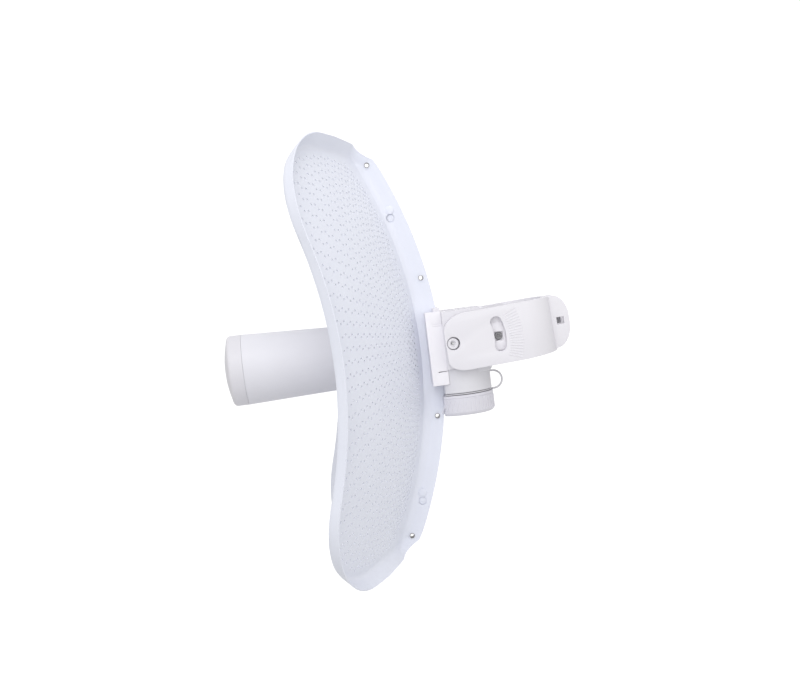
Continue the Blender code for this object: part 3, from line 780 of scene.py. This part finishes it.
def perforation_tree():
    """Fills the marked fold line with a floor, pierced in rings of holes that zigzag, and bends it."""
    tree = GeometryTree("perforated_floor")
    to_mm = 1 / MM
    rows = tree.size("Rows up each half", ROWS_UP)
    row_pitch = tree.size("Row pitch in mm", ROW_PITCH)
    fan = tree.size("Fan in degrees", ROW_FAN)
    rings = tree.size("Holes in a row", RINGS)
    pitch = tree.size("Hole pitch in mm", RING_PITCH)
    first = tree.size("First hole in mm", FIRST_RING)
    draw = tree.size("Curve of the rings", RING_DRAW)
    zigzag = tree.size("Zigzag in mm", ZIGZAG)
    hole = tree.size("Hole radius in mm", HOLE_RADIUS)
    plain = tree.size("Plain edge in mm", PLAIN_EDGE)
    plain_end = tree.size("Plain edge at the ends in mm", PLAIN_END)

    def join(x, y, z):
        return tree.add("ShaderNodeCombineXYZ", None, {0: x, 1: y, 2: z})

    fold = tree.add("GeometryNodeInputNamedAttribute", {"data_type": "BOOLEAN"}, {"Name": "fold"})
    edge = tree.add("GeometryNodeMeshToCurve", None, {"Mesh": tree.geometry, "Selection": fold})
    place = tree.add("GeometryNodeInputPosition")
    x, y, z = tree.split(place)
    flat = join(y * to_mm, z * to_mm, 0.0)
    edge = tree.add("GeometryNodeSetPosition", None, {"Geometry": edge, "Position": flat})

    index = tree.add("GeometryNodeInputIndex")
    row = (index / rings).maths("FLOOR")
    ring = index - row * rings
    row = row - rows - MIDDLE_ROW
    angle = (row * fan).maths("RADIANS")
    along = first + ring * pitch - (row * row - 1.0) * draw
    off_line = zigzag - ring.maths("MODULO", 2.0) * zigzag * 2.0
    sine = angle.maths("SINE")
    cosine = angle.maths("COSINE")
    centre = join(along * cosine - off_line * sine, row * row_pitch + along * sine + off_line * cosine, 0.0)
    count = (rows * 2.0 + 1.0) * rings
    dots = tree.add("GeometryNodePoints", None, {"Count": count, "Position": centre})

    plate = tree.add("GeometryNodeFillCurve", None, {0: edge})
    above = tree.add("ShaderNodeVectorMath", {"operation": "ADD"}, {0: place, 1: (0.0, 0.0, 1.0)})
    ray = {"Target Geometry": plate, "Source Position": above, "Ray Direction": (0.0, 0.0, -1.0)}
    inside = tree.add("GeometryNodeRaycast", None, ray)
    border = tree.add("GeometryNodeCurveToMesh", None, {0: edge})
    near = tree.add("GeometryNodeProximity", {"target_element": "EDGES"}, {0: border}, "Distance")
    off = tree.add("FunctionNodeBooleanMath", {"operation": "NOT"}, {0: inside})
    clear = plain - tree.ramp(y.maths("ABSOLUTE"), PLAIN_END_FROM, PLAIN_END_TO) * (plain - plain_end)
    close = tree.add("FunctionNodeCompare", {"operation": "LESS_THAN"}, {"A": near, "B": clear})
    gone = tree.add("FunctionNodeBooleanMath", {"operation": "OR"}, {0: off, 1: close})
    dots = tree.add("GeometryNodeDeleteGeometry", {"domain": "POINT"}, {"Geometry": dots, "Selection": gone})
    sockets = {"Resolution": HOLE_SIDES, "Radius": hole}
    circle = tree.add("GeometryNodeCurvePrimitiveCircle", None, sockets)
    circles = tree.add("GeometryNodeInstanceOnPoints", None, {"Points": dots, "Instance": circle})
    circles = tree.add("GeometryNodeRealizeInstances", None, {0: circles})

    both = tree.tree.nodes.new("GeometryNodeJoinGeometry")
    tree.feed(both.inputs[0], edge)
    tree.feed(both.inputs[0], circles)
    floor = tree.add("GeometryNodeFillCurve", None, {0: Value(tree, both.outputs[0])})
    across = x * MM
    along = y * MM
    depth = across * across / (4 * FOCUS_ACROSS) + along * along / (4 * FOCUS_ALONG)
    back = (depth + across * VALLEY_SLOPE) * -1.0
    bent = join(back, across, along)
    floor = tree.add("GeometryNodeSetPosition", None, {"Geometry": floor, "Position": bent})
    whole = tree.tree.nodes.new("GeometryNodeJoinGeometry")
    tree.feed(whole.inputs[0], floor)
    tree.feed(whole.inputs[0], tree.geometry)
    sockets = {"Geometry": Value(tree, whole.outputs[0]), "Distance": 0.00003}
    merged = tree.add("GeometryNodeMergeByDistance", None, sockets)
    tree.finish(merged, powder_coat)
    return tree


def flange_y(x, z):
    """How far across the flared flange's middle layer lies, at this place on it."""
    crease_out, crease_back = FLANGE_WALL[-2]
    end_out, end_back = FLANGE_WALL[-1]
    share = (x - skin_x(FLOOR_INNER, z) - crease_back) / (end_back - crease_back)
    return FLOOR_INNER - crease_out - (end_out - crease_out) * share


def on_flange(x, z):
    """The frame of a place on the flange's outer face, with its Z straight out of the sheet."""
    crease_out, crease_back = FLANGE_WALL[-2]
    end_out, end_back = FLANGE_WALL[-1]
    lean = math.atan((crease_out - end_out) / (end_back - crease_back))
    outer = flange_y(x, z) + SHEET / 2 / math.cos(lean)
    out = Vector((-math.sin(lean), math.cos(lean), 0))
    return Matrix.Translation((x, outer, z)) @ out.to_track_quat("Z", "Y").to_matrix().to_4x4()


def pressed_half():
    """The right half: floor, rim and flange as one sheet, then its thickness and the holes in its flange."""
    drill = bmesh.new()
    for x, z in PIN_HOLES:
        across_dish = Matrix.Rotation(math.pi / 2, 4, "X")
        disc(drill, Matrix.Translation((x, 0, z)) @ across_dish, PIN_HOLE_RADIUS, 2 * PIN_HOLE_REACH)
    for x, z in SUNKEN_STUDS:
        disc(drill, on_flange(x, z), STUD_RADIUS, 4 * SHEET)
    disc(drill, on_flange(*PRICK_MARK), PRICK_RADIUS, PRICK_DEPTH)
    drill = link("pin_drill", mesh_from(drill, "pin_drill"))
    pressed = perforation_tree().grow(reflector_walls("reflector"))
    shape = bmesh.new()
    shape.from_mesh(pressed)
    bmesh.ops.recalc_face_normals(shape, faces=shape.faces)
    shape.to_mesh(pressed)
    shape.free()
    half = link("half", pressed)
    wall = half.modifiers.new("thickness", "SOLIDIFY")
    wall.thickness = SHEET
    wall.offset = 0
    holes = half.modifiers.new("pin_holes", "BOOLEAN")
    holes.operation = "DIFFERENCE"
    holes.solver = "EXACT"
    holes.object = drill
    pressed = evaluated(half)
    bpy.data.objects.remove(drill)
    return pressed


def flange_studs():
    """The right flange's half-pierced studs: the raised ones, and the sunken ones in their grooves."""
    shape = bmesh.new()
    for x, z in RAISED_STUDS:
        disc(shape, on_flange(x, z), STUD_RADIUS, 2 * STUD_DEPTH)
    for x, z in SUNKEN_STUDS:
        sunk = Matrix.Translation((0, 0, -STUD_DEPTH - SHEET / 2))
        disc(shape, on_flange(x, z) @ sunk, STUD_RADIUS + SHEET, SHEET)
        plug = Matrix.Translation((0, 0, -STUD_DEPTH))
        disc(shape, on_flange(x, z) @ plug, STUD_RADIUS - STUD_GROOVE, STUD_DEPTH)
    return carved("studs", mesh_from(shape, "studs"), edge=0.00012, steps=2)


def shaded_pin_hole_eyelets():
    """The eyelets that line the pin holes through both flanges, in a dark grey that is painted shade for the
    holes' shadowed walls.
    """
    eyelets = []
    for x, z in PIN_HOLES:
        end = flange_y(x, z) + EYELET_PROUD
        ring = [(EYELET_BORE, -end), (PIN_HOLE_RADIUS, -end), (PIN_HOLE_RADIUS, end), (EYELET_BORE, end)]
        eyelet = turned("eyelet", ring, 32, closed=True)
        eyelet.transform(Matrix.Translation((x, 0, z)) @ Matrix.Rotation(math.pi / 2, 4, "Z"))
        eyelets.append(eyelet)
    mesh = joined("shaded_pin_hole_eyelets", eyelets)
    smooth(mesh)
    return mesh


def make_reflectors():
    """The two sheet halves, with the studs and the eyelets in their flanges."""
    pressed = pressed_half()
    studs = flange_studs()
    for word, side in SIDES.items():
        mesh = mirrored(pressed, side)
        smooth(mesh, 28)
        name = "reflector_" + word
        dish_piece("pressed_" + name, mesh, powder_coat, [name])
        dish_piece("flange_studs_" + word, mirrored(studs, side), powder_coat)
    # The eyelets' dark grey is painted shade for the shadowed walls of the pin holes.
    dish_piece("shaded_pin_hole_eyelets", shaded_pin_hole_eyelets(), grey_steel)


def make_feed():
    """The feed tube and its front cap, with the seam between them."""
    near, far = TUBE_RADII
    tube = [
        (0, TUBE_END),
        (far - SEAM, TUBE_END),
        (far, TUBE_END - SEAM),
        (near, TUBE_START + TUBE_EDGE),
        (near - TUBE_EDGE * 0.3, TUBE_START + TUBE_EDGE * 0.3),
        (near - TUBE_EDGE, TUBE_START),
        (0, TUBE_START),
    ]
    dish_piece("feed_horn", turned("feed_horn", tube), feed_white, ["feed_tube"])
    flat = far - FACE_ROUND
    cap = [(0, FACE_TIP)]
    for step in range(1, 13):
        share = step / 12
        cap.append((flat * share, FACE_TIP - (FACE_TIP - FACE_SHOULDER) * share**2))
    cap += arc((flat, FACE_SHOULDER - FACE_ROUND), (FACE_ROUND, FACE_ROUND), 75, 0, 10)
    start = TUBE_END + SEAM
    cap += [(far, start + SEAM), (far - SEAM, start), (0, start)]
    # The cap's face takes the darker copy of the feed's white: painted shade.
    dish_piece("feed_front_cap", turned("feed_cap", cap), feed_face, ["feed_cap"])


def arm_plan():
    """One arm from above: a straight plate, a quarter turn round the pole and the ear."""
    wall = ARM_OUTER - ARM_INNER
    inner_radius = JAW_OUTER - wall
    centre = (JAW_START, JAW_CENTRE_Y)
    ear_angle = math.degrees(math.asin((EAR_OUTER_Y - JAW_CENTRE_Y) / JAW_OUTER))
    front = ARM_FRONT - BLANK_SPARE
    rear = EAR_END + BLANK_SPARE
    points = [(front, ARM_INNER), (front, ARM_OUTER)]
    points += arc(centre, (JAW_OUTER, JAW_OUTER), 90, ear_angle, 26)
    points += [(rear, EAR_OUTER_Y), (rear, JAW_CENTRE_Y)]
    points += arc(centre, (inner_radius, inner_radius), 0, 90, 26)
    return points


def arm_profile():
    """The arms from the side: a rounded front end, nearly level edges and the D-shaped ear."""
    front_top, ear_top, ear_bottom, front_bottom = (arc(*corner) for corner in ARM_CORNERS)
    return front_top + ear_top + ear_bottom + ARM_UNDERSIDE + front_bottom


def slot_outline():
    """The curved slot that the lock bolt slides in, about the pivot."""
    half = SLOT_WIDTH / 2
    low = math.degrees(SLOT_MIDDLE - SLOT_HALF_SWING)
    high = math.degrees(SLOT_MIDDLE + SLOT_HALF_SWING)
    sides = ((SLOT_RADIUS + half, low, high, 0), (SLOT_RADIUS - half, high, low, 180))
    points = []
    for radius, start, stop, turn in sides:
        points += arc((0, 0), (radius, radius), start, stop, 16)
        end = math.radians(stop)
        centre = (SLOT_RADIUS * math.cos(end), SLOT_RADIUS * math.sin(end))
        points += arc(centre, (half, half), stop + turn, stop + turn + 180, 16)[1:-1]
    return points


def bars_on_arc(name, material, count, radius, start, stop, size, roll=0.0):
    """Bars set radially at even angles. Their size is along the radius, round the arc and up."""
    tree = GeometryTree(name)
    bars = tree.size("Bars", count)
    reach = tree.size("Radius", radius)
    first = tree.size("First angle", math.radians(start))
    sweep = tree.size("Sweep", math.radians(stop - start))
    sides = [tree.size(word, value) for word, value in zip(("Length", "Width", "Height"), size)]
    angle = first + tree.add("GeometryNodeInputIndex") * sweep / (bars - 1.0)
    sockets = {0: reach * angle.maths("COSINE"), 1: reach * angle.maths("SINE")}
    place = tree.add("ShaderNodeCombineXYZ", None, sockets)
    points = tree.add("GeometryNodePoints", None, {"Count": bars, "Position": place})
    bar_size = tree.add("ShaderNodeCombineXYZ", None, dict(enumerate(sides)))
    bar = tree.add("GeometryNodeMeshCube", None, {0: bar_size})
    rolled = tree.add("ShaderNodeCombineXYZ", None, {0: tree.size("Roll", math.radians(roll))})
    bar = tree.add("GeometryNodeTransform", None, {"Geometry": bar, "Rotation": rolled})
    turn = tree.add("ShaderNodeCombineXYZ", None, {2: angle})
    turn = tree.add("FunctionNodeEulerToRotation", None, {0: turn})
    sockets = {"Points": points, "Instance": bar, "Rotation": turn}
    tree.finish(tree.add("GeometryNodeInstanceOnPoints", None, sockets), material)
    return tree.grow(bpy.data.meshes.new(name))


def make_arms():
    """The bracket's arms, cut from upright blanks as the CAD's are, with finely rounded edges."""
    tall = 0.06
    wide = 0.04
    hole_x, hole_z, size = EAR_HOLE
    half = size / 2
    corners = [(hole_x - half, hole_z - half), (hole_x + half, hole_z - half)]
    corners += [(hole_x + half, hole_z + half), (hole_x - half, hole_z + half)]
    pivot_bore = arc((0, 0), (PIVOT_BORE, PIVOT_BORE), 0, 352.5, 47)
    openings = [slot_outline(), pivot_bore, corners]
    cutters = [standing(points, 0, wide) for points in openings]
    profile = standing(arm_profile(), 0, wide)
    arm = carved("arm", sheet_outline("arm", arm_plan(), tall), cutters, profile, ARM_EDGE)
    ticks = bars_on_arc("scale", bracket_white, *SCALE_TICKS, SCALE_TICK, roll=45.0)
    ticks.transform(Matrix.Translation((0, ARM_OUTER, 0)) @ Matrix.Rotation(math.pi / 2, 4, "X"))
    teeth = bars_on_arc("jaw_teeth", bracket_white, *JAW_TEETH, JAW_TOOTH)
    teeth.transform(Matrix.Translation((JAW_START, JAW_CENTRE_Y, JAW_TEETH_MIDDLE)))
    for word, side in SIDES.items():
        name = "bracket_arm_" + word
        mesh = mirrored(arm, side)
        bracket_piece("moulded_" + name, mesh, bracket_white, [name])
        mesh = mirrored(joined("grip", [ticks, teeth]), side)
        bracket_piece("scale_and_teeth_" + word, mesh, bracket_white)


def saddle_plan():
    """The saddle from above: half a ring with a flat strip in its middle, and a wing to each arm."""
    outer = POLE_RADIUS + SADDLE_WALL
    strip = math.degrees(math.asin(SEAT_HALF_WIDTH / POLE_RADIUS))
    wing_angle = math.degrees(math.acos((WING_FRONT - POLE_CENTRE) / outer))
    wing_y = ARM_INNER - WING_GAP
    centre = (POLE_CENTRE, 0)
    points = arc(centre, (POLE_RADIUS, POLE_RADIUS), 90, 180 - strip, 24)
    points += arc(centre, (POLE_RADIUS, POLE_RADIUS), 180 + strip, 270, 24)
    points += [(POLE_CENTRE, -wing_y), (WING_FRONT, -wing_y)]
    points += arc(centre, (outer, outer), 360 - wing_angle, wing_angle, 30)
    points += [(WING_FRONT, wing_y), (POLE_CENTRE, wing_y)]
    return points


def make_saddle():
    """The saddle between the arms, with teeth that bite the pole on both sides of its flat strip."""
    height = SADDLE_TOP - SADDLE_BOTTOM
    saddle = carved("saddle", sheet_outline("saddle", saddle_plan(), height), edge=0.0005)
    saddle.transform(Matrix.Translation((0, 0, SADDLE_BOTTOM + height / 2)))
    bracket_piece("moulded_saddle", saddle, bracket_white, ["pole_saddle"])
    rows = [bars_on_arc("saddle_teeth", bracket_white, *row, SADDLE_TOOTH) for row in SADDLE_TEETH]
    teeth = joined("saddle_teeth", rows)
    teeth.transform(Matrix.Translation((POLE_CENTRE, 0, (SADDLE_TOP + SADDLE_BOTTOM) / 2)))
    bracket_piece("saddle_teeth", teeth, bracket_white)


def make_clip():
    """The cheeks that close over the flanges, with their latch step and slit, and the crown above them."""
    inner, outer = mm(*CLIP_SIDES)
    step_x, step_z = LATCH_STEP
    outline = [mm(CLIP_FRONT, CLIP_BOTTOM), mm(CLIP_REAR, CLIP_BOTTOM), mm(CLIP_REAR, step_z - 0.5)]
    outline += [mm(step_x, step_z), mm(step_x, CLIP_TOP), mm(CLIP_FRONT, CLIP_TOP)]
    slit = standing([mm(*corner) for corner in LATCH_SLIT], *mm(*LATCH_SLIT_SIDES))
    lines = [box(*corners) for corners in FINE_LINES]
    cheek = carved("cheek", standing(outline, inner, outer), [slit, *lines], edge=0.0004)
    for word, side in SIDES.items():
        name = "clip_cheek_" + word
        # The cheeks take the lighter copy of the white: painted light against the reflector's shade.
        dish_piece("moulded_" + name, mirrored(cheek, side), clip_white, [name])
    crown = carved("crown", box(*CROWN), edge=0.0007)
    mesh = joined("clip_crown", [crown, box(*BACK_PLATE)])
    dish_piece("clip_crown", mesh, bracket_white, ["clip_back_plate"])


def make_tilt_block():
    """The cored block, its pivot bosses and the lugs that hold the lock bolts."""
    cores = []
    long, wide = TOP_CORE
    low, high = TOP_CORE_LEVELS
    for x in TOP_CORE_FRONTS:
        for y in TOP_CORE_SIDES:
            cores.append(box((x, y, low), (x + long, y + wide, high)))
    front, rear = REAR_CORE_REACH
    for y in REAR_CORE_SIDES:
        for low, high in REAR_CORE_LEVELS:
            cores.append(box((front, y, low), (rear, y + REAR_CORE_WIDTH, high)))
    block = carved("block", box(*BLOCK), cores, edge=0.0007)
    dish_piece("moulded_block", block, bracket_white, ["tilt_block"])
    lock_x, lock_z = LOCK
    half = POCKET / 2
    inner, outer = POCKET_REACH
    pocket = box((lock_x - half, inner, lock_z - half), (lock_x + half, outer, lock_z + half))
    bore = spindle(LUG_BORE, 40, RIGHT, lock_x, lock_z)
    lug = carved("lug", box(*LUG), [pocket, bore], edge=0.00015, steps=2)
    lug = joined("lug", [lug, *(box(*corners) for corners in LUG_WEBS)])
    pivot_x, pivot_z = PIVOT_BEHIND_BEND / MM, PIVOT_ABOVE_FEED / MM
    for word, side in SIDES.items():
        name = "tilt_lug_" + word
        # The lugs take the lighter copy of the white: painted light against the shade inside the slot.
        dish_piece("moulded_" + name, mirrored(lug, side), clip_white, [name])
        bolt = spindle(BOLT, 48, side, lock_x, lock_z)
        dish_piece("turned_bolt_" + word, bolt, grey_steel, ["lock_bolt_" + word])
        name = "pivot_boss_" + word
        boss = spindle(BOSS, 64, side, pivot_x - BOSS_FORWARD, pivot_z)
        dish_piece("moulded_" + name, boss, bracket_white, [name])
        pin = spindle(PIVOT_PIN, 40, side, pivot_x, pivot_z)
        dish_piece("pivot_pin_" + word, pin, zinc_grey)


def port_outline(radius, reach, front):
    """The port from above: round at the back, flat in front, with a groove for the flanges."""
    groove_x, groove_y = PORT_GROOVE
    half_angle = math.degrees(math.acos((front - PORT_CENTRE) / radius))
    points = [(groove_x, groove_y), (front, groove_y)]
    points += arc((PORT_CENTRE, 0), (radius, radius), half_angle, -half_angle, 90)
    points += [(front, -groove_y), (groove_x, -groove_y)]
    return [mm(x, max(min(y, reach), -reach)) for x, y in points]


def stack(name, levels, reach=99.0, front=PORT_FRONT):
    """A solid through the port's outline at each radius and height, from the top down."""
    shape = bmesh.new()
    rings = []
    for radius, z in levels:
        rings.append([shape.verts.new((x, y, z * MM)) for x, y in port_outline(radius, reach, front)])
    count = len(rings[0])
    for above, below in zip(rings, rings[1:]):
        for index in range(count):
            after = (index + 1) % count
            shape.faces.new((above[index], above[after], below[after], below[index]))
    shape.faces.new(rings[0])
    shape.faces.new(list(reversed(rings[-1])))
    bmesh.ops.recalc_face_normals(shape, faces=shape.faces)
    mesh = mesh_from(shape, name)
    smooth(mesh, 32)
    return mesh


def leaning_ribs(side):
    """Fine grip ribs on one side of the cap, which lean more towards the dish."""
    radius = CAP_RADIUS * MM
    start, stop = RIB_ARC
    half = RIB[2] / 2
    ribs = bars_on_arc("cap_ribs", cap_grey, RIBS, radius, start * side, stop * side, mm(*RIB))
    for vertex in ribs.vertices:
        drop = half * MM - vertex.co.z
        lean = RIB_LEAN * min(max((RIB_LEAN_FROM - vertex.co.x / MM) / RIB_LEAN_OVER, 0), 1)
        turn = Matrix.Rotation(side * lean * drop / radius, 3, "Z")
        vertex.co = turn @ vertex.co
    ribs.transform(Matrix.Translation(mm(PORT_CENTRE, 0, RIB_TOP - half)))
    return ribs


def make_port():
    """The cable port's neck, with its lip, and the gasket below it."""
    levels = [(NECK_RADIUS, NECK_TOP), (NECK_RADIUS, NECK_BOTTOM + NECK_EDGE)]
    levels += [(NECK_RADIUS - NECK_EDGE, NECK_BOTTOM)]
    neck = carved("neck", stack("neck", levels), [box(*NECK_STEP)])
    lip = carved("lip", stack("lip", LIP, LIP_REACH), [box(*LIP_CUT)])
    dish_piece("moulded_neck", joined("neck", [neck, lip]), neck_grey, ["port_housing"])
    dish_piece("gasket_ring", stack("gasket", GASKET), cord_grey, ["port_gasket"])


def make_cap():
    """The port's cap: two beads, leaning grip ribs, a rounded foot and a nub below."""
    levels = [(CAP_RADIUS + out, CAP_TOP + rise) for out, rise in CAP_BEADS]
    foot = (CAP_RADIUS - CAP_FOOT, CAP_BOTTOM + CAP_FOOT)
    levels += arc(foot, (CAP_FOOT, CAP_FOOT), 0, -90, 8)
    cap = stack("cap", levels, front=CAP_FRONT)
    nub = carved("nub", box(*NUB), edge=0.0004)
    cap = joined("cap", [cap, leaning_ribs(RIGHT), leaning_ribs(LEFT), nub])
    dish_piece("ribbed_cap", cap, cap_grey, ["port_cap"])


def make_tether():
    """The cord that keeps the cap: a loop with both ends in the neck."""
    start, end = TETHER_ENDS
    loop = [start, *arc(TETHER_CENTRE, (TETHER_RADIUS, TETHER_RADIUS), 90, -90, 28), end]
    curve = line_through("cord", [mm(x, 0, z) for x, z in loop], "3D")
    curve.bevel_depth = TETHER_THICK / 2 * MM
    curve.bevel_resolution = 4
    curve.use_fill_caps = True
    cord = solid_of("cord", curve, flat=False)
    smooth(cord, 60)
    dish_piece("cap_cord", cord, cord_grey, ["cap_tether"])


def make_clamp_nut():
    """The square nut on the right ear, with a blind bore."""
    x, z = EAR_HOLE[0] / MM, EAR_HOLE[1] / MM
    half = CLAMP_NUT_WIDTH / 2
    inner, outer = CLAMP_NUT_REACH
    nut = box((x - half, inner, z - half), (x + half, outer, z + half))
    nut = carved("clamp_nut", nut, [spindle(NUT_BORE, 40, RIGHT, x, z)], edge=0.0005)
    bracket_piece("clamp_nut", nut, zinc_grey)


def finish_frame():
    """Finishes for the CAD nodes that keep their own shape."""
    finishes = {feed_white: ("feed_collar", "feed_spine"), dark_steel: ("lock_nut",)}
    for material, starts in finishes.items():
        for name, node in frame["nodes"].items():
            if name.startswith(starts):
                for slot in node.material_slots:
                    slot.material = material


def make_camera():
    """The camera at the photograph's eye, rolled as the photograph is."""
    eye = DISH @ EYE
    aim = DISH @ AIM
    turn = DISH.to_3x3()
    rear = turn @ Vector((1, 0, 0))
    up = turn @ Vector((0, 0, 1))
    right = rear * math.cos(CAMERA_ROLL) - up * math.sin(CAMERA_ROLL)
    forward = (aim - eye).normalized()
    right = (right - forward * right.dot(forward)).normalized()
    above = right.cross(forward)
    camera = link("camera", bpy.data.cameras.new("camera"))
    place = Matrix((right, above, -forward)).transposed().to_4x4()
    place.translation = eye
    camera.matrix_world = place
    camera.data.sensor_width = SENSOR
    camera.data.lens = SENSOR * FOCAL_PIXELS / PHOTO_WIDTH
    camera.data.clip_end = 50
    bpy.context.scene.camera = camera


def make_studio():
    """Soft light from all round: brighter above, dimmer before the dish, and white behind the object."""
    world = bpy.data.worlds.new("studio")
    world.use_nodes = True
    sky = Graph(world.node_tree)
    across, behind, above = sky.split(sky.add("ShaderNodeTexCoord", output="Generated"))
    front = sky.ramp(across * -1.0, *SHADE_SPREAD)
    window = sky.ramp(behind, *WINDOW_EDGE)
    soft = ROOM_LIGHT + above.maths("MAXIMUM", 0.0) * ROOM_LIGHT_ABOVE - front * ROOM_SHADE_IN_FRONT
    backdrop = world.node_tree.nodes["Background"].inputs
    sky.feed(backdrop["Strength"], soft + window * (WINDOW_LIGHT - soft))
    sky.feed(backdrop["Color"], (1, 1, 1, 1))
    bpy.context.scene.world = world
    for name, place, target, size, power in LAMPS:
        lamp = link(name, bpy.data.lights.new(name, "AREA"))
        lamp.data.size = size
        lamp.data.energy = power
        lamp.location = place
        lamp.rotation_euler = (Vector(target) - Vector(place)).to_track_quat("-Z", "Y").to_euler()
    bpy.context.scene.view_settings.view_transform = "Standard"


def make_floor():
    """A pale round floor, well below the dish."""
    shape = bmesh.new()
    place = Matrix.Translation((0, 0, FLOOR_LEVEL))
    bmesh.ops.create_circle(shape, cap_ends=True, segments=96, radius=FLOOR_RADIUS, matrix=place)
    floor = link("floor", mesh_from(shape, "floor"))
    paint = Finish("floor_paint", 0.9)
    paint.set("Base Color", (0.70, 0.70, 0.70, 1))
    floor.data.materials.append(paint.material)


make_camera()
make_reflectors()
make_feed()
make_arms()
make_saddle()
make_clip()
make_tilt_block()
make_port()
make_cap()
make_tether()
make_clamp_nut()
finish_frame()
make_floor()
make_studio()
